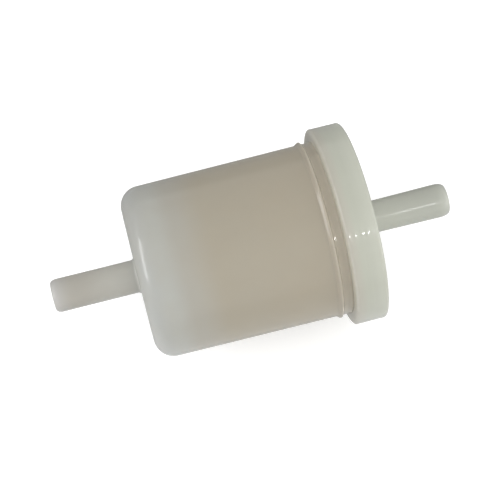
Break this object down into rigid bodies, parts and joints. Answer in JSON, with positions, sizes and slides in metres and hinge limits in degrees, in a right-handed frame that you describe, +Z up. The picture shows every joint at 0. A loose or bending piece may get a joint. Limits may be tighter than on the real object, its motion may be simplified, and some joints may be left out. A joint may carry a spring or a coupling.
{
  "type": "in-line fuel filter",
  "caption": "Sealed in-line fuel filter: a milky plastic cup and welded cap with hose spigots on both ends, around a pleated paper element.",
  "frame": {"origin": "middle of the overall length, on the filter's axis", "axes": "+X along the filter's axis in the direction of flow, from the inlet spigot to the outlet spigot; +Z up when the filter lies on its side"},
  "size_m": [0.098, 0.0486, 0.0486],
  "materials": {
    "milky_nylon": "satin, translucent",
    "cap_nylon": "satin, slightly translucent",
    "filter_paper": "matte, fibrous",
    "core_nylon": "matte moulded",
    "disc_nylon": "matte moulded",
    "potting_resin": "satin cured adhesive",
    "seal_rubber": "matte"
  },
  "bodies": {
    "root": {"filter_cup": "milky_nylon", "outlet_cap": "cap_nylon", "pleated_media": "filter_paper", "centre_core": "core_nylon", "lower_end_disc": "disc_nylon", "upper_end_ring": "disc_nylon", "lower_potting": "potting_resin", "upper_potting": "potting_resin", "outlet_seal": "seal_rubber"}
  },
  "joints": []
}
